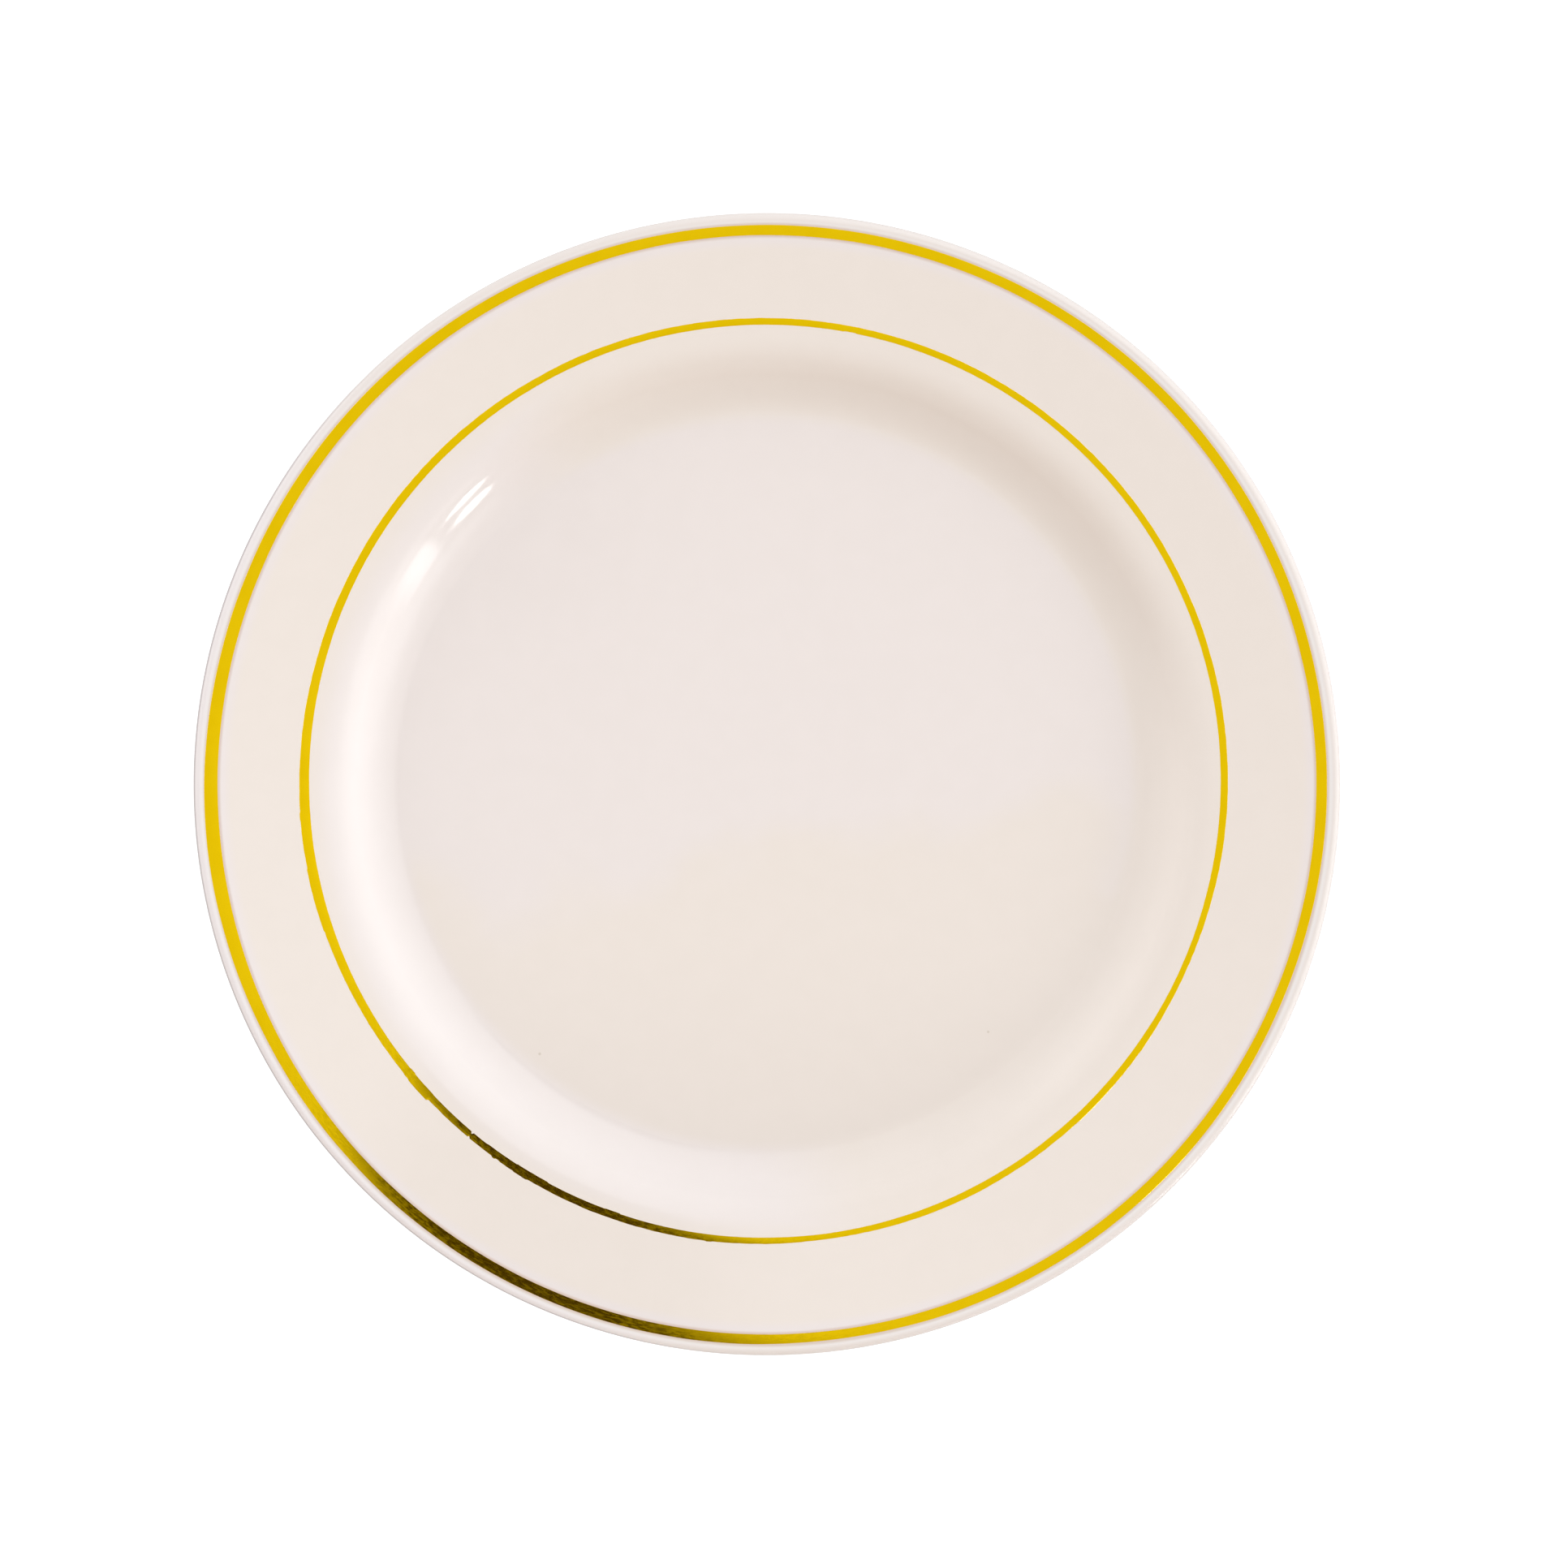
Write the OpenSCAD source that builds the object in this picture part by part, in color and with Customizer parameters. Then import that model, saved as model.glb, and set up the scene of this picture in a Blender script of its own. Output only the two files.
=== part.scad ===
// China dinner plate in millimetres: a biscuit-fired porcelain body, the glaze fired on to
// it, and two gold bands fired on to the glaze. It stands on z = 0, centred on the Z axis.
// Every dimension is of the finished, glazed surface unless its line says otherwise.

/* [Plate] */
// Diameter over the lip
plate_d = 267; // [254:1:280]
// Thickness of the lip, which is a full round
lip_t = 3; // [2.4:0.1:3.6]
// Thickness of the verge and of the wall of the well
wall_t = 3.8; // [3.2:0.1:4.4]
// Thickness of the base under the well
base_t = 4.4; // [4:0.1:5]

/* [Well] */
// Radius of the flat well floor
floor_r = 86.4; // [84:0.1:88]
// Height of the well floor above the table
floor_z = 7.4; // [6.8:0.1:8.4]
// Radius of the crease where the floor turns up
crease_r = 6; // [3:0.5:8]
// Slope at which the crease runs into the hollow of the wall
crease_a = 9; // [5:1:12]
// Radius of the hollow at the foot of the wall
hollow_r = 16.7; // [13:0.1:18]
// Steepest slope of the wall
wall_a = 44; // [38:1:52]
// Radius of the verge, where the wall rolls over towards the rim
verge_r = 11.5; // [9:0.1:14]
// Slope at which the verge runs into the brow
verge_a = 16; // [11:1:22]
// Radius of the brow, which eases the verge into the rim
brow_r = 23.5; // [16:0.5:30]
// Slope of the rim
rim_a = 7.5; // [5:0.5:10]

/* [Foot ring] */
// How far the foot ring's outer side stands in from the edge of the well floor, at the table
foot_inset = 4.5; // [4.1:0.1:6]
// Width of the foot ring at the table, before its edges are rounded
foot_w = 3.8; // [3.4:0.1:5]
// Lean of the foot ring's sides from upright
foot_draft = 10; // [4:1:14]
// Radius between the foot ring's sides and the underside
foot_fillet = 1.6; // [1:0.1:2]
// Radius of the foot ring's bare edges
foot_round = 0.7; // [0.4:0.1:0.8]

/* [Glaze] */
// Thickness of the glaze
glaze_t = 0.25; // [0.2:0.05:0.4]
// Height above the table at which the glaze stops on the foot ring
glaze_line = 1; // [0.8:0.1:1.2]

/* [Gold] */
// Plain lip outside the rim band, measured in from the edge
rim_band_inset = 3; // [2:0.1:5]
// Width of the rim band
rim_band_w = 2.4; // [1.5:0.1:4]
// Gap between the brow and the verge line
verge_line_gap = 1.9; // [1:0.1:5]
// Width of the verge line
verge_line_w = 1.7; // [1:0.1:2.5]
// Thickness that stands for the gold film
gold_t = 0.08; // [0.06:0.01:0.12]

/* [Hidden] */
$fn = 240;
arc_step = 3;     // degrees of turn between two points of a curve
turn_back = -180; // heading of the underside, which is followed back towards the axis

body_colour = [0.96, 0.94, 0.90];
glaze_colour = [0.93, 0.90, 0.87];
gold_colour = [0.90, 0.76, 0.02];

// The section is followed outwards along the top, round the lip and back underneath.
// A heading is the direction of travel in degrees, and normal() points out into the air.
function normal(heading) = [-sin(heading), cos(heading)];

// A curve from one heading to another round centre c. A left turn is hollow and a right
// turn is bulging. depth is how far below the finished surface the curve lies.
function bend(c, r, from, to, depth) =
    let (side = to > from ? 1 : -1, n = ceil(abs(to - from) / arc_step))
    [for (i = [0:n]) c - side * (r + side * depth) * normal(from + (to - from) * i / n)];

function reversed(points) = [for (i = [len(points) - 1:-1:0]) points[i]];

// Centres of the curves of the top, each from the end of the one before
crease_c = [floor_r, floor_z + crease_r];
crease_end = crease_c - crease_r * normal(crease_a);
hollow_c = crease_end + hollow_r * normal(crease_a);
wall_mid = hollow_c - hollow_r * normal(wall_a);
verge_c = wall_mid - verge_r * normal(wall_a);
brow_c = verge_c + (verge_r - brow_r) * normal(verge_a);
brow_end = brow_c + brow_r * normal(rim_a);

// The rim is straight from the brow to the lip
lip_r = lip_t / 2;
lip_x = plate_d / 2 - lip_r;
function rim_point(x) = [x, brow_end.y + (x - brow_end.x) * tan(rim_a)];
lip_top = rim_point(lip_x + lip_r * normal(rim_a).x);
lip_c = lip_top - lip_r * normal(rim_a);

// The underside of the rim is the line that touches both the lip and the back of the verge
verge_back_r = verge_r - wall_t;
verge_to_lip = lip_c - verge_c;
under_rim_a = atan2(verge_to_lip.y, verge_to_lip.x)
    - asin((lip_r + verge_back_r) / norm(verge_to_lip));
hollow_back_r = hollow_r + wall_t;
under_z = hollow_c.y - hollow_back_r;

// The foot ring's sides, leaning by foot_draft, and where they would meet the table
foot_outer_r = floor_r - foot_inset;
foot_inner_r = foot_outer_r - foot_w;
recess_z = floor_z - base_t;
outer_side = turn_back + 90 - foot_draft;
inner_side = turn_back - 90 + foot_draft;
function fillet_reach(z) =
    (foot_fillet + (z - foot_fillet) * sin(foot_draft)) / cos(foot_draft);
outer_fillet_c = [foot_outer_r + fillet_reach(under_z), under_z - foot_fillet];
inner_fillet_c = [foot_inner_r - fillet_reach(recess_z), recess_z - foot_fillet];
foot_round_reach = (glaze_t + foot_round * (1 - sin(foot_draft))) / cos(foot_draft);
outer_round_c = [foot_outer_r - foot_round_reach, foot_round];
inner_round_c = [foot_inner_r + foot_round_reach, foot_round];
glaze_end_x = glaze_line * tan(foot_draft);

// Surface from the middle of the well over the lip to the glaze's end outside the foot ring
function main_surface(depth) = concat(
    [[0, floor_z - depth]],
    bend(crease_c, crease_r, 0, crease_a, depth),
    bend(hollow_c, hollow_r, crease_a, wall_a, depth),
    bend(verge_c, verge_r, wall_a, verge_a, depth),
    bend(brow_c, brow_r, verge_a, rim_a, depth),
    bend(lip_c, lip_r, rim_a, turn_back + under_rim_a, depth),
    bend(verge_c, verge_back_r, turn_back + under_rim_a, turn_back + wall_a, depth),
    bend(hollow_c, hollow_back_r, turn_back + wall_a, turn_back, depth),
    bend(outer_fillet_c, foot_fillet, turn_back, outer_side, depth),
    [[foot_outer_r + glaze_end_x, glaze_line] - depth * normal(outer_side)]);

// Surface from the glaze's end inside the foot ring to the middle of the recess
function recess_surface(depth) = concat(
    [[foot_inner_r - glaze_end_x, glaze_line] - depth * normal(inner_side)],
    bend(inner_fillet_c, foot_fillet, inner_side, turn_back, depth),
    [[0, recess_z - depth * normal(turn_back).y]]);

// The bare foot, between the two ends of the glaze
function bare_foot() = concat(
    bend(outer_round_c, foot_round, outer_side, turn_back, 0),
    bend(inner_round_c, foot_round, turn_back, inner_side, 0));

module porcelain_body() {
    color(body_colour)
        rotate_extrude()
            polygon(concat(main_surface(glaze_t), bare_foot(), recess_surface(glaze_t)));
}

module glaze_skin(outside, inside) {
    color(glaze_colour)
        rotate_extrude()
            polygon(concat(outside, reversed(inside)));
}

module glaze_coat() {
    glaze_skin(main_surface(0), main_surface(glaze_t));
}

module recess_glaze() {
    glaze_skin(recess_surface(0), recess_surface(glaze_t));
}

// A gold band lying on the rim between two radii
module gold_band(inner_x, outer_x) {
    lift = gold_t * normal(rim_a);
    color(gold_colour)
        rotate_extrude()
            polygon([
                rim_point(inner_x),
                rim_point(outer_x),
                rim_point(outer_x) + lift,
                rim_point(inner_x) + lift]);
}

module rim_gold_band() {
    outer_x = plate_d / 2 - rim_band_inset;
    gold_band(outer_x - rim_band_w, outer_x);
}

module verge_gold_line() {
    inner_x = brow_end.x + verge_line_gap;
    gold_band(inner_x, inner_x + verge_line_w);
}

porcelain_body();
glaze_coat();
recess_glaze();
rim_gold_band();
verge_gold_line();
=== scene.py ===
"""The looks of the china dinner plate: cream glaze, a bare foot and two rings of fired gold.

Every piece is turned from the same section as the CAD model, in metres, about the plate's
axis on Z, and stands on z = 0. Headings, turns and slopes are in degrees.
"""

import math

import bmesh
import bpy
from mathutils import Matrix, Vector, noise


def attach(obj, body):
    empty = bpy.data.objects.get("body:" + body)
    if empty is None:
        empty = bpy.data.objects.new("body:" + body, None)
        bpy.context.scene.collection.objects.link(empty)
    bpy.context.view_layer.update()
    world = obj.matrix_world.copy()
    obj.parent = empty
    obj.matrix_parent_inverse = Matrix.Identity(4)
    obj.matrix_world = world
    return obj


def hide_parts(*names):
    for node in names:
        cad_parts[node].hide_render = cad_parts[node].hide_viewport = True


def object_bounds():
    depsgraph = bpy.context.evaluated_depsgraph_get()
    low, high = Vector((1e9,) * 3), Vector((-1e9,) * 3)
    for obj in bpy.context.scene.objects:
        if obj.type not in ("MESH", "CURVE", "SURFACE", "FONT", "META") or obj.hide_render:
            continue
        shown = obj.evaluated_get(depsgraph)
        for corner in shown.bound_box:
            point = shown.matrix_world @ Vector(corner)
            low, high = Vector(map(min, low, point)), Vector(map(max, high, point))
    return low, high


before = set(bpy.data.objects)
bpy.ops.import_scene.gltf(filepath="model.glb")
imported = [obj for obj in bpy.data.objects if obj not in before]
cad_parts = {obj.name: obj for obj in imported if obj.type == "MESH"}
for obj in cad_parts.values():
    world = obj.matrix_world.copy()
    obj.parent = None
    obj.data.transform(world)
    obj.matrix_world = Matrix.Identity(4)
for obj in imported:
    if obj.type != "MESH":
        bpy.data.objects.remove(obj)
cad_low, cad_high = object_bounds()

MM = 0.001

# ---------------------------------------------------------------- sizes

# The section of the finished, glazed surface, as the CAD model has it
PLATE_R = min(-cad_low.x, -cad_low.y, cad_high.x, cad_high.y)
LIP_R = 1.5 * MM
WALL_T = 3.8 * MM
BASE_T = 4.4 * MM
FLOOR_R = 86.4 * MM
FLOOR_Z = 7.4 * MM
CREASE_R = 6 * MM
CREASE_SLOPE = 9
HOLLOW_R = 16.7 * MM
WALL_SLOPE = 44
VERGE_R = 11.5 * MM
VERGE_SLOPE = 16
BROW_R = 23.5 * MM
RIM_SLOPE = 7.5
FOOT_OUTER_R = FLOOR_R - 4.5 * MM
FOOT_W = 3.8 * MM
FOOT_DRAFT = 10
FOOT_FILLET = 1.6 * MM
FOOT_ROUND = 0.7 * MM
GLAZE_T = 0.25 * MM
GLAZE_LINE = 1 * MM
BACK = -180  # heading of the underside, which is followed back towards the axis

# The section of a gold film
FILM_T = 0.03 * MM  # above the glaze
FILM_SINK = 0.02 * MM  # below the glaze
FILM_EDGE = 0.02 * MM  # width of its sides, which have to be steep to be shaded as sharp
FILM_CROWN = 0.25  # how much thinner it is at its sides than in the middle, as a share
CROWN_STEPS = 6
LEAST_FILM_W = 0.04 * MM

# How far the edges of both gold rings stray: evenly, and times the cosine of the turn and
# the cosine of twice the turn
INNER_TWICE = -0.28 * MM
OUTER_EVEN = 0.09 * MM
OUTER_ONCE = -0.18 * MM
OUTER_TWICE = -0.14 * MM

# Where the outer edge of both gold rings swells or narrows: turn, half width and change in mm
SWELLS = ((186, 14, 0.35), (278, 9, -0.22), (338, 10, -0.25))

# Roughness of the inner and of the outer edge: seed, waves in a turn, and size in mm
ROUGHNESS = {
    "rim_gold_band": (((11, 90, 0.04),), ((12, 90, 0.04),)),
    "verge_gold_line": (((21, 60, 0.04), (22, 400, 0.03)), ((23, 60, 0.06), (24, 400, 0.06))),
}

# The verge line's middle in x and y, and how much thinner it is, on its inner side
LINE_MIDDLE = (-0.49 * MM, 0.88 * MM)
LINE_THINNED = 0.07 * MM

# Chips and steps in the verge line: from and to, and how far its inner and outer edges move in mm
CHIPS = (
    (79, 80.5, 0.12, 0),
    (183, 184, 0, 0.12),
    (190, 198, 0, 0.14),
    (218.3, 219.2, -0.14, 0.1),
    (219.2, 222.6, 0, 0.26),
    (222.6, 229.4, 0.06, -0.2),
    (229.46, 229.64, 0.7, -0.7),
    (229.7, 232, 0.1, -0.12),
    (232, 234.4, 0, -0.1),
    (233.3, 233.8, 0, 0.28),
    (236.5, 238.5, -0.12, 0.16),
    (238.5, 241, -0.14, 0),
    (249, 251, -0.12, -0.05),
    (262.2, 263, 0, 0.12),
)
CHIP_RAMP = 0.2  # degrees over which a chip starts or ends

# How finely the pieces are drawn
PLATE_TURNS = 288
GOLD_TURNS = 2880
MOST_BEND = 6  # degrees of a curve between two of its points
MOST_CHORD = 0.5 * MM  # length of a curve between two of its points
MOST_STRAIGHT = 4 * MM  # length of a straight side between two of its points
LEAST_SIDE = 0.001 * MM  # a shorter side is left out
WELD = 0.0005 * MM  # points nearer than this become one
SHARP_FROM = 35  # degrees between two faces from which their edge is sharp

# The camera looks almost straight down, leaning a little to the left and to the top
LENS = 147.7
SENSOR = 36
CLIP_START = 0.05
CLIP_END = 50
CAMERA_DISTANCE = 1.5
CAMERA_LEFT = 0.5
CAMERA_UP = 5
CAMERA_AIM = (3.89 * MM, 0.85 * MM, 0.8 * cad_high.z)

# ---------------------------------------------------------------- colours

WHITE = (1, 1, 1, 1)

# The glaze
# On the wall the pink cream is painted light on the side that faces the light, and the yellower cream is
# painted shade on the other side
PINK_CREAM = (0.771, 0.706, 0.683, 1)
YELLOW_CREAM = (0.770, 0.699, 0.647, 1)
LIP_CREAM = (0.775, 0.728, 0.675, 1)
LIP_EDGE = (0.755, 0.685, 0.616, 1)
# Painted light: the lip's edge paler on the left
LIP_EDGE_PAINTED_LIGHT = (0.785, 0.725, 0.682, 1)
SPECK_BROWN = (0.62, 0.55, 0.48, 1)

# Tints that multiply the colour of the glaze
MOTTLE = (0.992, 0.992, 0.99, 1)
# Painted shade: the well floor darker towards the bottom
PAINTED_FLOOR_SHADE = (0.965, 0.962, 0.962, 1)
# Painted shade: a thin dark line along the lip's outer edge on the left
LIP_PAINTED_SHADE = (0.66, 0.64, 0.65, 1)
LILAC = (0.99, 1.0, 1.06, 1)
# Painted shadow: a soft brown edge all along the rim's gold band
BAND_PAINTED_SHADOW = (0.84, 0.74, 0.66, 1)

# Spans of the radius over which the glaze changes
TO_WALL = (84 * MM, 88 * MM)
TO_RIM = (101 * MM, 107 * MM)
TO_LIP = (PLATE_R - 3.2 * MM, PLATE_R - 2.8 * MM)
TO_LIP_EDGE = (PLATE_R - 2.2 * MM, PLATE_R - 1.4 * MM)
# Painted shade: the thin dark line at the lip's outer edge
TO_LIP_PAINTED_SHADE = (PLATE_R - 0.6 * MM, PLATE_R - 0.2 * MM)

# The way to the left in x and y, and spans of the distance that way from the plate's middle
LEFT = (-0.94, -0.34)
# Painted light and shade on the wall: the pink cream where it faces the light, the yellower, darker cream
# on its other side
TO_PAINTED_LIT_WALL = (8 * MM, 35 * MM)
# Past this distance to the left the lip's edge is painted paler, as painted light, and gets a thin line of
# painted shade
TO_FAR_LEFT = (40 * MM, 95 * MM)

# Span of y over which the well floor darkens towards the bottom, as painted shade
TO_PAINTED_FLOOR_SHADE = (-30 * MM, -85 * MM)

# Spans of the distance from the rim's gold band
TO_LILAC = (3.5 * MM, 0.8 * MM)
# Painted shadow along both edges of the gold band
TO_BAND_PAINTED_SHADOW = (0.9 * MM, 0.1 * MM)

# Span of the upward part of the surface's normal over which the plate's top starts
TO_TOP = (0.0, 0.3)

# The clouds of the glaze: their size, the distance in y over which they rise by 1, which makes the floor
# yellower and darker towards the bottom as painted shade, and the span over which the pink cream turns
# yellow
CLOUD_SIZE = 45 * MM
PAINTED_SHADE_RISE = -90 * MM
TO_YELLOW = (0.58, 0.82)

# Specks on the well floor: x, y and radius in mm, and the shares of the radius over which each
# one starts
SPECKS = ((-53.5, -63.5, 0.35), (52, -58.4, 0.3))
SPECK_EDGE = (1.4, 0.4)

# Fine marks of the glaze, the bare foot and the gold
SOFT_NOISE = (0.3, 0.7)  # the span that most of a soft noise lies in
MOTTLE_SIZE = 6 * MM
POLISH_SIZE = 18 * MM
RIPPLE_SIZE = 3 * MM
RIPPLE_DEPTH = 0.003 * MM
GLAZE_ROUGHNESS = (0.05, 0.1)
GRAIN_SIZE = 0.35 * MM
GRAIN_SPAN = (0.2, 0.8)
GRAIN_DEPTH = 0.03 * MM
WEAR_SIZE = 9 * MM
WEAR_HEIGHT = 0.5 * MM
BISCUIT_ROUGHNESS = (0.7, 0.9)
STROKE_SIZE = 0.4 * MM
STROKE_STRETCH = 30 * MM  # how far the strokes change along a radian of turn
STROKE_DEPTH = 0.0008 * MM
GOLD_ROUGHNESS = (0.06, 0.12)
PATCH_SIZE = 7 * MM
PATCH_SPAN = (0.35, 0.65)

# The bare foot
BISCUIT_PALE = (0.80, 0.74, 0.66, 1)
BISCUIT_DARK = (0.72, 0.66, 0.58, 1)
BISCUIT_WORN = (0.42, 0.39, 0.35, 1)

# The gold
GOLD_PALE = (0.945, 0.634, 0.003, 1)
GOLD_DEEP = (0.925, 0.615, 0.002, 1)

# The floor, and how bright it is on its own account: to the plate, and to the camera
FLOOR_SIZE = 6
FLOOR_GREY = (0.3, 0.3, 0.3, 1)
FLOOR_GLOW = 0.45
FLOOR_WHITE = 0.9

# ---------------------------------------------------------------- light

AMBIENT = 0.75

# Tones of the patches of light. The last is taken away, and leaves a warmer light.
PLAIN = (1, 1, 1)
COOL = (0.96, 1.0, 1.02)
WARM_GONE = (0.79, 1.09, 1.34)

NO_END = (170, 180)  # the end of a patch that goes on below the horizon

# Soft patches of the studio, over the plain dome: strength, tone, azimuth, the spans of degrees
# from that azimuth over which it starts and ends, and the spans of polar angle likewise
STUDIO = {
    "dark_side": (-0.44, WARM_GONE, 255, (-60, -20), (25, 60), (15, 40), NO_END),
    "dark_side_horizon": (0.53, PLAIN, 255, (-60, -20), (25, 60), (50, 80), NO_END),
    "window": (0.72, COOL, 0, (-41, -39), (15, 80), (15, 66), NO_END),
    "window_near_end": (0.54, COOL, 0, (-41, -39), (-15, 10), (46, 64), NO_END),
    "window_end": (2.6, COOL, 0, (-41, -39), (-37, -28), (62, 70), NO_END),
    "window_prong": (0.67, COOL, 0, (-54, -48), (-30, -5), (38, 46), (54, 62)),
    "window_top": (0.5, COOL, 25, (-70, -30), (40, 80), (8, 25), NO_END),
    "left_fill": (0.8, PLAIN, 165, (-50, -15), (15, 50), (20, 50), NO_END),
    "left_low": (0.53, PLAIN, 165, (-50, -15), (15, 50), (50, 75), NO_END),
    "top_low": (0.2, PLAIN, 105, (-50, -15), (15, 50), (20, 60), NO_END),
    "overhead": (0.09, PLAIN, 0, (-182, -181), (181, 182), (-2, -1), (13, 24)),
}

# A small oval lamp beside the window
LAMP_AZIMUTH = -47.3
LAMP_POLAR = 76.5
LAMP_HALF_W = 3.5
LAMP_HALF_H = 6.8
LAMP_STRENGTH = 9
LAMP_EDGE = (1.05, 0.95)  # shares of its size over which it starts

# A dark brown flag hung beside the camera, in the shape of a wedge: its point in degrees off the
# zenith in x and y, the headings from the point and the polar angles over which it starts and
# ends, and the tone of the light that it lets through
FLAG_POINT = (-2.4, -3.9)
FLAG_HEADINGS = ((25.5, 34), (60, 77))
FLAG_POLARS = ((2, 3.5), (14, 17))
FLAG_BROWN = (0.06, 0.042, 0.03, 1)


# ---------------------------------------------------------------- section

def normal(heading):
    """The unit vector out into the air from a surface followed at a heading."""
    angle = math.radians(heading)
    return Vector((-math.sin(angle), math.cos(angle)))


def bend(centre, radius, start, end, depth):
    """A curve between two headings, depth below the finished surface."""
    side = 1 if end > start else -1
    turn = abs(end - start)
    steps = math.ceil(max(turn / MOST_BEND, math.radians(turn) * radius / MOST_CHORD))
    return [
        centre - side * (radius + side * depth) * normal(start + (end - start) * i / steps)
        for i in range(steps + 1)
    ]


def slope(degrees):
    return math.tan(math.radians(degrees))


# Centres of the curves of the top, each from the end of the one before
crease_c = Vector((FLOOR_R, FLOOR_Z + CREASE_R))
crease_end = crease_c - CREASE_R * normal(CREASE_SLOPE)
hollow_c = crease_end + HOLLOW_R * normal(CREASE_SLOPE)
verge_c = hollow_c - (HOLLOW_R + VERGE_R) * normal(WALL_SLOPE)
brow_c = verge_c + (VERGE_R - BROW_R) * normal(VERGE_SLOPE)
brow_end = brow_c + BROW_R * normal(RIM_SLOPE)


def rim_point(radius):
    """The point of the rim's straight top at a radius."""
    return Vector((radius, brow_end.y + (radius - brow_end.x) * slope(RIM_SLOPE)))


lip_c = rim_point(PLATE_R - LIP_R + LIP_R * normal(RIM_SLOPE).x) - LIP_R * normal(RIM_SLOPE)

# The underside of the rim touches both the lip and the back of the verge
verge_back_r = VERGE_R - WALL_T
verge_to_lip = lip_c - verge_c
under_rim = math.degrees(
    math.atan2(verge_to_lip.y, verge_to_lip.x)
    - math.asin((LIP_R + verge_back_r) / verge_to_lip.length)
)
hollow_back_r = HOLLOW_R + WALL_T

# The foot ring's sides lean by FOOT_DRAFT
foot_inner_r = FOOT_OUTER_R - FOOT_W
recess_z = FLOOR_Z - BASE_T
outer_side = BACK + 90 - FOOT_DRAFT
inner_side = BACK - 90 + FOOT_DRAFT
lean_sin = math.sin(math.radians(FOOT_DRAFT))
lean_cos = math.cos(math.radians(FOOT_DRAFT))


def fillet_centre(foot_r, away, height):
    """Centre of the curve between a side of the foot ring and the underside above it."""
    reach = (FOOT_FILLET + (height - FOOT_FILLET) * lean_sin) / lean_cos
    return Vector((foot_r + away * reach, height - FOOT_FILLET))


outer_fillet_c = fillet_centre(FOOT_OUTER_R, 1, hollow_c.y - hollow_back_r)
inner_fillet_c = fillet_centre(foot_inner_r, -1, recess_z)
round_reach = (GLAZE_T + FOOT_ROUND * (1 - lean_sin)) / lean_cos
outer_round_c = Vector((FOOT_OUTER_R - round_reach, FOOT_ROUND))
inner_round_c = Vector((foot_inner_r + round_reach, FOOT_ROUND))
glaze_end = GLAZE_LINE * slope(FOOT_DRAFT)


def main_surface(depth):
    """From the middle of the well over the lip to the glaze's end outside the foot."""
    return [
        Vector((0, FLOOR_Z - depth)),
        *bend(crease_c, CREASE_R, 0, CREASE_SLOPE, depth),
        *bend(hollow_c, HOLLOW_R, CREASE_SLOPE, WALL_SLOPE, depth),
        *bend(verge_c, VERGE_R, WALL_SLOPE, VERGE_SLOPE, depth),
        *bend(brow_c, BROW_R, VERGE_SLOPE, RIM_SLOPE, depth),
        *bend(lip_c, LIP_R, RIM_SLOPE, BACK + under_rim, depth),
        *bend(verge_c, verge_back_r, BACK + under_rim, BACK + WALL_SLOPE, depth),
        *bend(hollow_c, hollow_back_r, BACK + WALL_SLOPE, BACK, depth),
        *bend(outer_fillet_c, FOOT_FILLET, BACK, outer_side, depth),
        Vector((FOOT_OUTER_R + glaze_end, GLAZE_LINE)) - depth * normal(outer_side),
    ]


def recess_surface(depth):
    """From the glaze's end inside the foot ring to the middle of the recess."""
    return [
        Vector((foot_inner_r - glaze_end, GLAZE_LINE)) - depth * normal(inner_side),
        *bend(inner_fillet_c, FOOT_FILLET, inner_side, BACK, depth),
        Vector((0, recess_z + depth)),
    ]


def bare_foot():
    """The unglazed foot, between the two ends of the glaze."""
    return [
        *bend(outer_round_c, FOOT_ROUND, outer_side, BACK, 0),
        *bend(inner_round_c, FOOT_ROUND, BACK, inner_side, 0),
    ]


def with_rings(outline):
    """The same closed outline with long straight stretches divided."""
    points = []
    for here, there in zip(outline, outline[1:] + outline[:1]):
        length = (there - here).length
        if length < LEAST_SIDE:
            continue
        along_axis = here.x == 0 and there.x == 0
        steps = 1 if along_axis else math.ceil(length / MOST_STRAIGHT)
        points += [here.lerp(there, i / steps) for i in range(steps)]
    return points


# The inner and outer radius of each gold ring, as the CAD model has them
ring_radii = {}
for node in ("rim_gold_band", "verge_gold_line"):
    spans = [math.hypot(vertex.co.x, vertex.co.y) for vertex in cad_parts[node].data.vertices]
    ring_radii[node] = min(spans), max(spans)


# ---------------------------------------------------------------- materials

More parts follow.
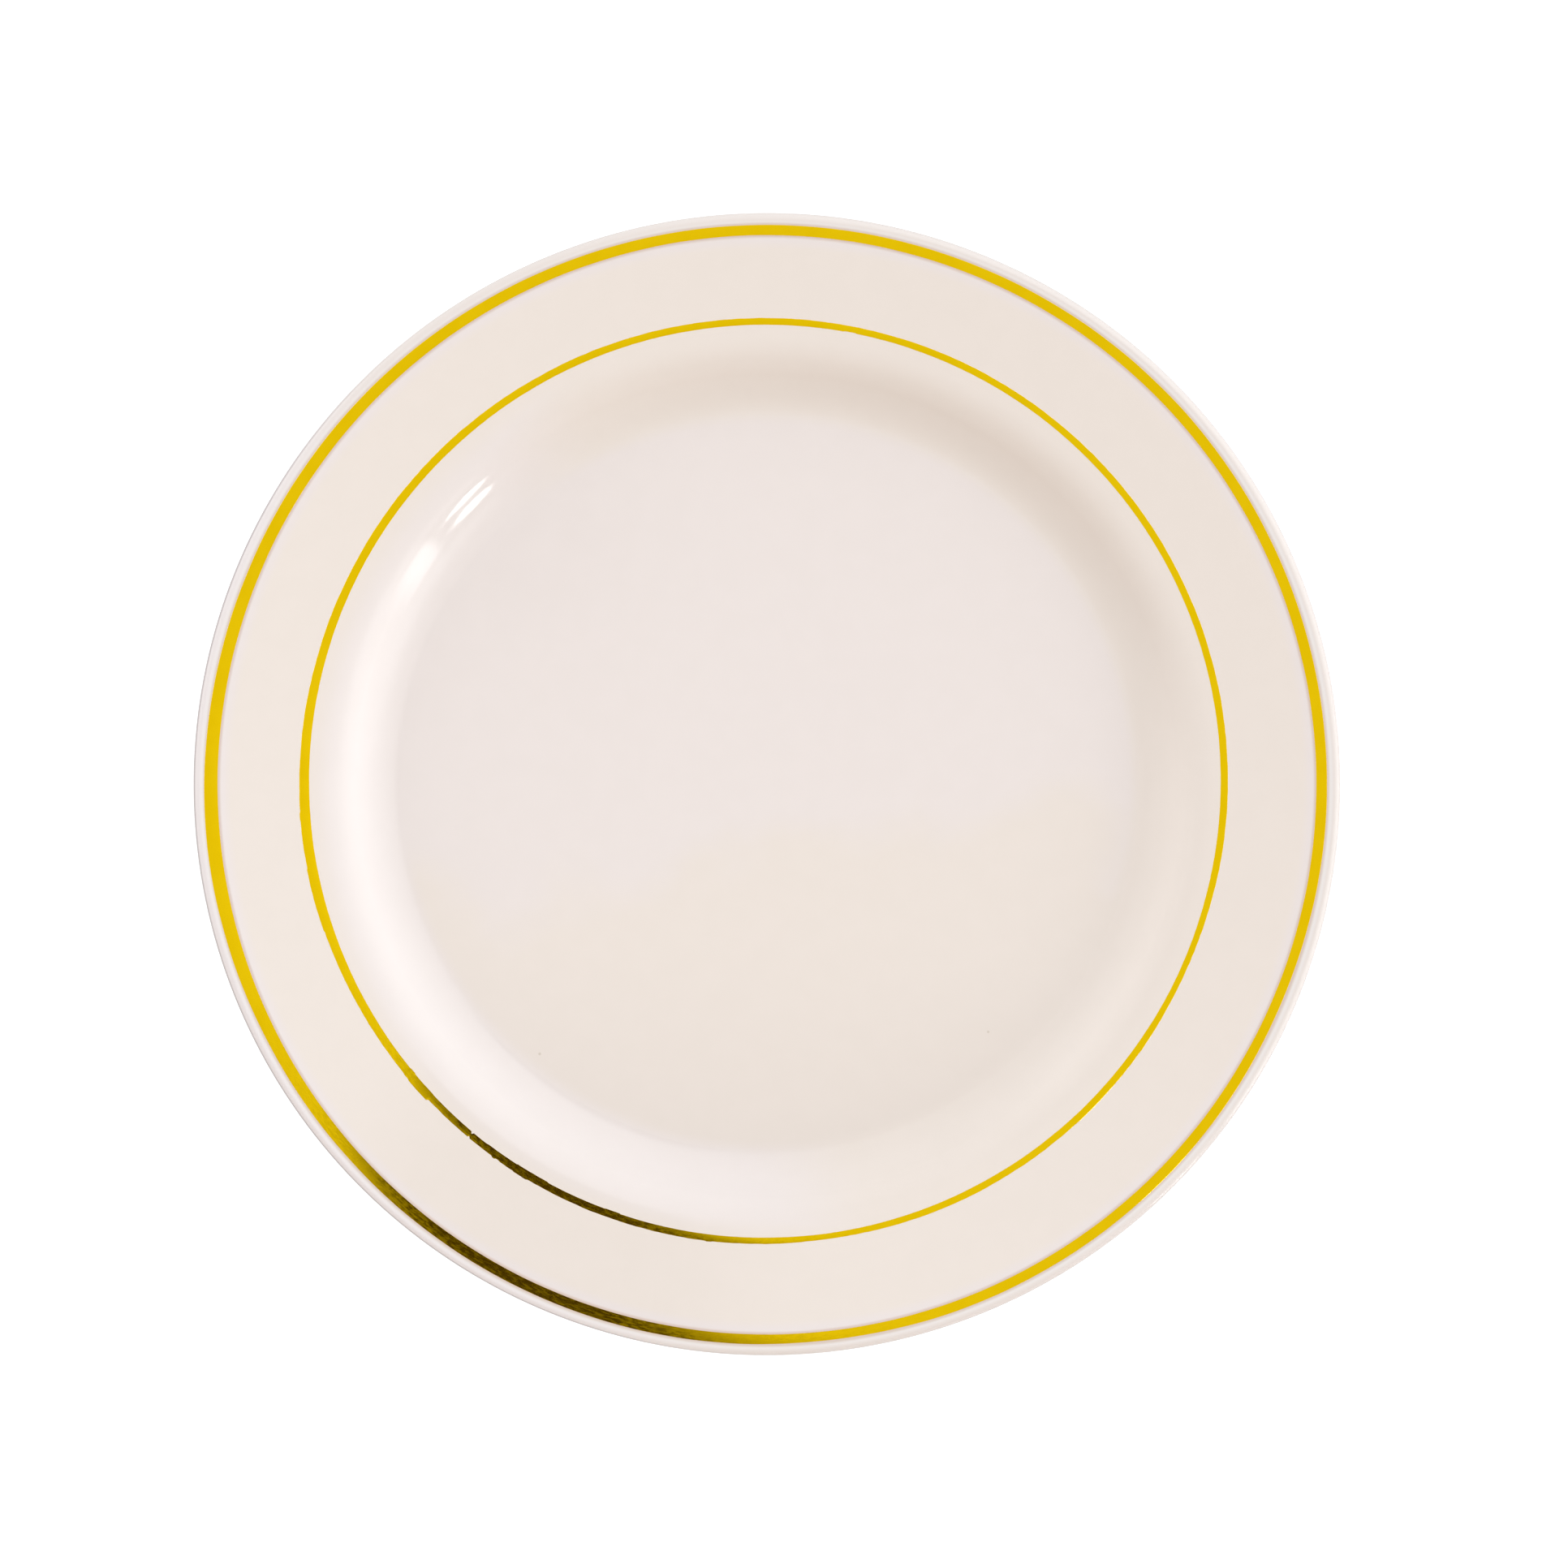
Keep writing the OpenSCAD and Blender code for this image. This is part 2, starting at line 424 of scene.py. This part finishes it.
class Graph:
    """A node tree, with short calls for the nodes used here."""

    def __init__(self, tree):
        self.tree = tree
        tree.nodes.clear()

    def node(self, kind, inputs=None, **settings):
        """A new node, with its settings made and its inputs set or linked."""
        made = self.tree.nodes.new("ShaderNode" + kind)
        for name, value in settings.items():
            setattr(made, name, value)
        for socket, value in (inputs or {}).items():
            if isinstance(value, bpy.types.NodeSocket):
                self.tree.links.new(value, made.inputs[socket])
            else:
                made.inputs[socket].default_value = value
        return made

    def math(self, operation, first, second=0.0):
        return self.node("Math", {0: first, 1: second}, operation=operation).outputs[0]

    def plus(self, first, second):
        return self.math("ADD", first, second)

    def minus(self, first, second):
        return self.math("SUBTRACT", first, second)

    def times(self, first, second):
        return self.math("MULTIPLY", first, second)

    def vector(self, operation, first, second=(0, 0, 0)):
        return self.node("VectorMath", {0: first, 1: second}, operation=operation).outputs[0]

    def length(self, vector):
        return self.node("VectorMath", {0: vector}, operation="LENGTH").outputs["Value"]

    def parts(self, vector):
        """The x, y and z of a vector."""
        return self.node("SeparateXYZ", {0: vector}).outputs[:3]

    def climb(self, value, start, end, low=0.0, high=1.0):
        """A smooth climb from low where value is start to high where it is end."""
        inputs = {"Value": value, "From Min": start, "From Max": end, "To Min": low, "To Max": high}
        return self.node("MapRange", inputs, interpolation_type="SMOOTHSTEP").outputs["Result"]

    def blend(self, share, first, second):
        """The first number where share is 0 and the second where it is 1."""
        return self.node("Mix", {0: share, 2: first, 3: second}).outputs[0]

    def mix(self, share, first, second):
        """The first colour where share is 0 and the second where it is 1."""
        made = self.node("Mix", {0: share, 6: first, 7: second}, data_type="RGBA")
        return made.outputs[2]

    def tint(self, share, colour, factor):
        """The colour multiplied by factor where share is 1."""
        made = self.node("Mix", {0: share, 6: colour, 7: factor}, data_type="RGBA")
        made.blend_type = "MULTIPLY"
        return made.outputs[2]

    def noise(self, where, wavelength, detail):
        """Soft noise about 0.5 that changes over a wavelength."""
        inputs = {"Vector": where, "Scale": 1 / wavelength, "Detail": detail}
        return self.node("TexNoise", inputs).outputs["Fac"]

    def bump(self, height, depth):
        return self.node("Bump", {"Height": height, "Distance": depth}).outputs["Normal"]


def surface(name, roughness=0.5, metallic=0.0):
    """A material, its node graph, its shader and the place in the object."""
    material = bpy.data.materials.new(name)
    material.use_nodes = True
    graph = Graph(material.node_tree)
    shader = graph.node("BsdfPrincipled", {"Roughness": roughness, "Metallic": metallic})
    graph.node("OutputMaterial", {"Surface": shader.outputs[0]})
    return material, graph, shader, graph.node("TexCoord").outputs["Object"]


def join(graph, shader, socket, value):
    graph.tree.links.new(value, shader.inputs[socket])


def cream_clouds_and_painted_shade(graph, where, y, radius, toward_left):
    """Random clouds of two creams on the floor, pushed towards the yellower, darker one at the bottom as
    painted shade; the yellower one on the rim, and as painted shade on the wall's side away from the
    light.
    """
    # The rise in y is painted shade: it makes the floor yellower and darker towards the bottom
    clouds_and_painted_shade = graph.plus(graph.noise(where, CLOUD_SIZE, detail=3.0), graph.math("DIVIDE", y, PAINTED_SHADE_RISE))
    on_wall = graph.climb(radius, *TO_WALL)
    # Painted shade: the yellower cream on the wall's side away from the light, the pink cream on its lit
    # side
    painted_shade_side = graph.minus(1, graph.climb(toward_left, *TO_PAINTED_LIT_WALL))
    yellow = graph.blend(on_wall, graph.climb(clouds_and_painted_shade, *TO_YELLOW), painted_shade_side)
    yellow = graph.math("MAXIMUM", graph.climb(radius, *TO_RIM), yellow)
    colour = graph.mix(yellow, PINK_CREAM, YELLOW_CREAM)
    mottle = graph.climb(graph.noise(where, MOTTLE_SIZE, detail=2.0), *SOFT_NOISE)
    colour = graph.tint(mottle, colour, MOTTLE)
    # Painted shade: the well floor darkened towards the bottom
    painted_floor_shade = graph.times(graph.climb(y, *TO_PAINTED_FLOOR_SHADE), graph.minus(1, on_wall))
    return graph.tint(painted_floor_shade, colour, PAINTED_FLOOR_SHADE)


def lip_colours(graph, colour, radius, toward_left):
    """A paler band inside the edge, a browner edge that is painted paler on the left as painted light, and
    a thin dark line of painted shade on the left.
    """
    far_left = graph.climb(toward_left, *TO_FAR_LEFT)
    # Painted light: the lip's edge paler on the left
    edge_colour = graph.mix(far_left, LIP_EDGE, LIP_EDGE_PAINTED_LIGHT)
    lip_colour = graph.mix(graph.climb(radius, *TO_LIP_EDGE), LIP_CREAM, edge_colour)
    colour = graph.mix(graph.climb(radius, *TO_LIP), colour, lip_colour)
    # Painted shade: a thin dark line along the lip's left edge
    lip_painted_shade = graph.times(graph.climb(radius, *TO_LIP_PAINTED_SHADE), far_left)
    return graph.tint(lip_painted_shade, colour, LIP_PAINTED_SHADE)


def beside_band(graph, colour, x, radius, on_top):
    """A lilac tinge inside the rim's gold band and a soft brown painted shadow all along it."""
    inner, outer = ring_radii["rim_gold_band"]
    once = graph.math("DIVIDE", x, graph.math("MAXIMUM", radius, MM))
    twice = graph.minus(graph.times(graph.times(once, once), 2), 1)
    inner_edge = graph.plus(inner, graph.times(twice, INNER_TWICE))
    outer_edge = graph.plus(graph.times(once, OUTER_ONCE), graph.times(twice, OUTER_TWICE))
    inside = graph.minus(inner_edge, radius)
    outside = graph.minus(graph.minus(radius, outer + OUTER_EVEN), outer_edge)
    lilac = graph.times(graph.climb(inside, *TO_LILAC), on_top)
    colour = graph.tint(lilac, colour, LILAC)
    # Painted shadow beside the gold band
    off_band = graph.math("MAXIMUM", inside, outside)
    band_painted_shadow = graph.times(graph.climb(off_band, *TO_BAND_PAINTED_SHADOW), on_top)
    return graph.tint(band_painted_shadow, colour, BAND_PAINTED_SHADOW)


def with_specks(graph, colour, flat, on_top):
    """A few small brown specks on the well floor."""
    for x, y, size in SPECKS:
        away = graph.length(graph.vector("SUBTRACT", flat, (x * MM, y * MM, 0)))
        speck = graph.climb(away, SPECK_EDGE[0] * size * MM, SPECK_EDGE[1] * size * MM)
        colour = graph.mix(graph.times(speck, on_top), colour, SPECK_BROWN)
    return colour


def glaze_material():
    """Cream glaze, with the lip's own colours, the marks beside the gold, and two specks."""
    material, graph, shader, where = surface("cream_glaze")
    flat = graph.vector("MULTIPLY", where, (1, 1, 0))
    x, y, _ = graph.parts(flat)
    radius = graph.length(flat)
    toward_left = graph.plus(graph.times(x, LEFT[0]), graph.times(y, LEFT[1]))
    _, _, upward = graph.parts(graph.node("TexCoord").outputs["Normal"])
    on_top = graph.climb(upward, *TO_TOP)
    colour = cream_clouds_and_painted_shade(graph, where, y, radius, toward_left)
    colour = lip_colours(graph, colour, radius, toward_left)
    colour = beside_band(graph, colour, x, radius, on_top)
    colour = with_specks(graph, colour, flat, on_top)
    join(graph, shader, "Base Color", colour)
    polish = graph.noise(where, POLISH_SIZE, detail=2.0)
    join(graph, shader, "Roughness", graph.climb(polish, *SOFT_NOISE, *GLAZE_ROUGHNESS))
    ripple = graph.noise(where, RIPPLE_SIZE, detail=1.0)
    join(graph, shader, "Normal", graph.bump(ripple, RIPPLE_DEPTH))
    return material


def biscuit_material():
    """Bare fired clay: matt, a little grainy, and greyed where the foot has stood."""
    material, graph, shader, where = surface("biscuit", roughness=0.8)
    _, _, height = graph.parts(where)
    grain = graph.noise(where, GRAIN_SIZE, detail=3.0)
    colour = graph.mix(grain, BISCUIT_PALE, BISCUIT_DARK)
    wear = graph.noise(where, WEAR_SIZE, detail=3.0)
    worn = graph.times(graph.climb(height, WEAR_HEIGHT, 0), wear)
    colour = graph.mix(worn, colour, BISCUIT_WORN)
    join(graph, shader, "Base Color", colour)
    join(graph, shader, "Roughness", graph.climb(grain, *GRAIN_SPAN, *BISCUIT_ROUGHNESS))
    join(graph, shader, "Normal", graph.bump(grain, GRAIN_DEPTH))
    return material


def gold_material():
    """Burnished gold: fine marks round the plate from the brush that laid it."""
    material, graph, shader, where = surface("fired_gold", metallic=1.0)
    flat = graph.vector("MULTIPLY", where, (1, 1, 0))
    outward = graph.vector("NORMALIZE", flat)
    stretched = {0: outward, "Scale": STROKE_STRETCH}
    round_it = graph.node("VectorMath", stretched, operation="SCALE").outputs[0]
    across = graph.node("CombineXYZ", {"Z": graph.length(flat)}).outputs[0]
    strokes = graph.noise(graph.vector("ADD", round_it, across), STROKE_SIZE, detail=2.0)
    patches = graph.climb(graph.noise(where, PATCH_SIZE, detail=2.0), *PATCH_SPAN)
    join(graph, shader, "Base Color", graph.mix(patches, GOLD_PALE, GOLD_DEEP))
    join(graph, shader, "Roughness", graph.climb(strokes, *SOFT_NOISE, *GOLD_ROUGHNESS))
    join(graph, shader, "Normal", graph.bump(strokes, STROKE_DEPTH))
    return material


# ---------------------------------------------------------------- pieces

def turned(name, outline_at, turns, material):
    """A closed mesh whose section at each turn about Z is outline_at(turn in degrees)."""
    shape = bmesh.new()
    sections = []
    for i in range(turns):
        turn = 360 * i / turns
        cosine = math.cos(math.radians(turn))
        sine = math.sin(math.radians(turn))
        sections.append([
            shape.verts.new((point.x * cosine, point.x * sine, point.y)) for point in outline_at(turn)
        ])
    for here, there in zip(sections, sections[1:] + sections[:1]):
        for k in range(len(here)):
            after = (k + 1) % len(here)
            shape.faces.new((here[k], here[after], there[after], there[k]))
    bmesh.ops.remove_doubles(shape, verts=shape.verts, dist=WELD)
    mesh = bpy.data.meshes.new(name)
    shape.to_mesh(mesh)
    shape.free()
    mesh.shade_smooth()
    mesh.set_sharp_from_angle(angle=math.radians(SHARP_FROM))
    mesh.materials.append(material)
    piece = bpy.data.objects.new(name, mesh)
    bpy.context.scene.collection.objects.link(piece)
    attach(piece, "root")
    return piece


def make_plate():
    glaze = glaze_material()
    body_outline = with_rings(main_surface(GLAZE_T) + bare_foot() + recess_surface(GLAZE_T))
    coat_outline = with_rings(main_surface(0) + main_surface(GLAZE_T)[::-1])
    recess_outline = with_rings(recess_surface(0) + recess_surface(GLAZE_T)[::-1])
    body = turned("plate_body", lambda turn: body_outline, PLATE_TURNS, biscuit_material())
    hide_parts("porcelain_body")
    coat = turned("plate_glaze", lambda turn: coat_outline, PLATE_TURNS, glaze)
    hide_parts("glaze_coat")
    recess = turned("foot_recess_glaze", lambda turn: recess_outline, PLATE_TURNS, glaze)
    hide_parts("recess_glaze")


def gold_section(inner, outer):
    """The section of a gold film between two radii on the rim: thin edges and a slight crown."""
    up = normal(RIM_SLOPE)
    middle = (inner + outer) / 2
    width = outer - inner
    edge = min(FILM_EDGE, width / 4)
    top = [(inner, 0.0)]
    for i in range(CROWN_STEPS + 1):
        across = -1 + 2 * i / CROWN_STEPS
        top.append((middle + across * (width / 2 - edge), 1 - FILM_CROWN * across ** 2))
    top.append((outer, 0.0))
    points = [rim_point(radius) + up * FILM_T * height for radius, height in top]
    points += [rim_point(outer) - up * FILM_SINK, rim_point(inner) - up * FILM_SINK]
    return points


def swell(turn):
    """How far the outer edge of a gold ring swells at a turn."""
    total = 0.0
    for centre, half, change in SWELLS:
        away = (turn - centre + 180) % 360 - 180
        total += change * math.exp(-(away / half) ** 2)
    return total * MM


def rough(turn, layers):
    """Noise round the plate at a turn, added up over layers of seed, waves in a turn, and size."""
    angle = math.radians(turn)
    total = 0.0
    for seed, waves, size in layers:
        reach = waves / (2 * math.pi)
        total += size * noise.noise(Vector((reach * math.cos(angle), reach * math.sin(angle), seed)))
    return total * MM


def chips(turn):
    """How far the chips move the inner and outer edge of the verge line at a turn."""
    inner = outer = 0.0
    for start, end, inner_change, outer_change in CHIPS:
        share = min((turn - start) / CHIP_RAMP + 0.5, (end - turn) / CHIP_RAMP + 0.5)
        share = max(0.0, min(1.0, share))
        inner += share * inner_change * MM
        outer += share * outer_change * MM
    return inner, outer


def gold_edges(node, turn):
    """The inner and outer radius of a gold ring at a turn, drawn as unevenly as by hand."""
    inner, outer = ring_radii[node]
    inner_layers, outer_layers = ROUGHNESS[node]
    once = math.cos(math.radians(turn))
    twice = math.cos(2 * math.radians(turn))
    inner += INNER_TWICE * twice + rough(turn, inner_layers)
    outer += OUTER_EVEN + OUTER_ONCE * once + OUTER_TWICE * twice + swell(turn) + rough(turn, outer_layers)
    if node == "verge_gold_line":
        inner_chip, outer_chip = chips(turn)
        drift = LINE_MIDDLE[0] * once + LINE_MIDDLE[1] * math.sin(math.radians(turn))
        inner += LINE_THINNED + drift + inner_chip
        outer += drift + outer_chip
    if outer - inner < LEAST_FILM_W:
        inner = (inner + outer) / 2
        outer = inner + LEAST_FILM_W
    return inner, outer


def make_gold():
    gold = gold_material()
    for name, node in (("rim_band", "rim_gold_band"), ("verge_line", "verge_gold_line")):
        piece = turned(
            name, lambda turn: gold_section(*gold_edges(node, turn)), GOLD_TURNS, gold
        )
        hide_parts(node)


# ---------------------------------------------------------------- stage

def make_floor():
    """A plain white sheet that is seen from above only."""
    bpy.ops.mesh.primitive_plane_add(size=FLOOR_SIZE)
    floor = bpy.context.object
    floor.name = "floor"
    material = bpy.data.materials.new("pale_floor")
    material.use_nodes = True
    graph = Graph(material.node_tree)
    seen = graph.node("LightPath").outputs["Is Camera Ray"]
    inputs = {
        "Base Color": FLOOR_GREY,
        "Roughness": 1.0,
        "Specular IOR Level": 0.0,
        "Emission Color": WHITE,
        "Emission Strength": graph.blend(seen, FLOOR_GLOW, FLOOR_WHITE),
    }
    sheet = graph.node("BsdfPrincipled", inputs)
    below = graph.node("NewGeometry").outputs["Backfacing"]
    clear = graph.node("BsdfTransparent")
    both = graph.node("MixShader", {0: below, 1: sheet.outputs[0], 2: clear.outputs[0]})
    graph.node("OutputMaterial", {"Surface": both.outputs[0]})
    floor.data.materials.append(material)


def between(graph, value, rises, falls):
    """1 from rises[1] to falls[0], easing to 0 at rises[0] and falls[1]."""
    return graph.times(graph.climb(value, *rises), graph.climb(value, falls[1], falls[0]))


def heading_of(graph, along, aside):
    """The direction of two parts of a vector in degrees, from -180 to 180."""
    return graph.math("DEGREES", graph.math("ARCTAN2", aside, along))


def bearing(graph, way, azimuth):
    """Degrees round from an azimuth to a way."""
    inputs = {"Vector": way, "Angle": -math.radians(azimuth)}
    turned_way = graph.node("VectorRotate", inputs, rotation_type="Z_AXIS").outputs[0]
    along, aside, _ = graph.parts(turned_way)
    return heading_of(graph, along, aside)


def lamp_light(graph, way, polar):
    """The light of the small lamp: even over an oval, with a soft edge."""
    across = graph.math("DIVIDE", bearing(graph, way, LAMP_AZIMUTH), LAMP_HALF_W)
    down = graph.math("DIVIDE", graph.minus(polar, LAMP_POLAR), LAMP_HALF_H)
    off_lamp = graph.length(graph.node("CombineXYZ", {"X": across, "Y": down}).outputs[0])
    return graph.times(graph.climb(off_lamp, *LAMP_EDGE), LAMP_STRENGTH)


def flag_tone(graph, way, polar):
    """The colour that the flag multiplies the light by: white everywhere else."""
    x, y, height = graph.parts(way)
    along = graph.minus(graph.math("DIVIDE", x, height), slope(FLAG_POINT[0]))
    aside = graph.minus(graph.math("DIVIDE", y, height), slope(FLAG_POINT[1]))
    in_wedge = between(graph, heading_of(graph, along, aside), *FLAG_HEADINGS)
    return graph.mix(graph.times(in_wedge, between(graph, polar, *FLAG_POLARS)), WHITE, FLAG_BROWN)


def studio(graph):
    """The light that comes from each direction of the studio."""
    way = graph.node("TexCoord").outputs["Generated"]
    _, _, height = graph.parts(way)
    polar = graph.math("DEGREES", graph.math("ARCCOSINE", height))
    light = (AMBIENT, AMBIENT, AMBIENT)
    for strength, tone, azimuth, starts, ends, rises, falls in STUDIO.values():
        round_it = between(graph, bearing(graph, way, azimuth), starts, ends)
        patch = graph.times(round_it, between(graph, polar, rises, falls))
        glow = graph.vector("MULTIPLY", patch, [strength * channel for channel in tone])
        light = graph.vector("ADD", light, glow)
    light = graph.vector("ADD", light, lamp_light(graph, way, polar))
    return graph.vector("MULTIPLY", light, flag_tone(graph, way, polar))


def make_world():
    """The studio lights the plate, and the camera itself sees plain white."""
    world = bpy.data.worlds.new("studio")
    world.use_nodes = True
    bpy.context.scene.world = world
    graph = Graph(world.node_tree)
    seen = graph.node("LightPath").outputs["Is Camera Ray"]
    background = graph.node("Background", {"Color": graph.mix(seen, studio(graph), WHITE)})
    graph.node("OutputWorld", {"Surface": background.outputs[0]})


def make_camera():
    """A camera in the place of the photographer's, with the top of its picture towards +Y."""
    lens = bpy.data.cameras.new("camera")
    lens.lens = LENS
    lens.sensor_width = SENSOR
    lens.clip_start = CLIP_START
    lens.clip_end = CLIP_END
    camera = bpy.data.objects.new("camera", lens)
    bpy.context.scene.collection.objects.link(camera)
    back = Vector((-slope(CAMERA_LEFT), slope(CAMERA_UP), 1)).normalized()
    camera.location = Vector(CAMERA_AIM) + back * CAMERA_DISTANCE
    right = Vector((0, 1, 0)).cross(back).normalized()
    up = back.cross(right)
    camera.rotation_mode = "QUATERNION"
    camera.rotation_quaternion = Matrix((right, up, back)).transposed().to_quaternion()
    bpy.context.scene.camera = camera


make_camera()
make_plate()
make_gold()
make_floor()
make_world()
bpy.context.scene.view_settings.view_transform = "Standard"
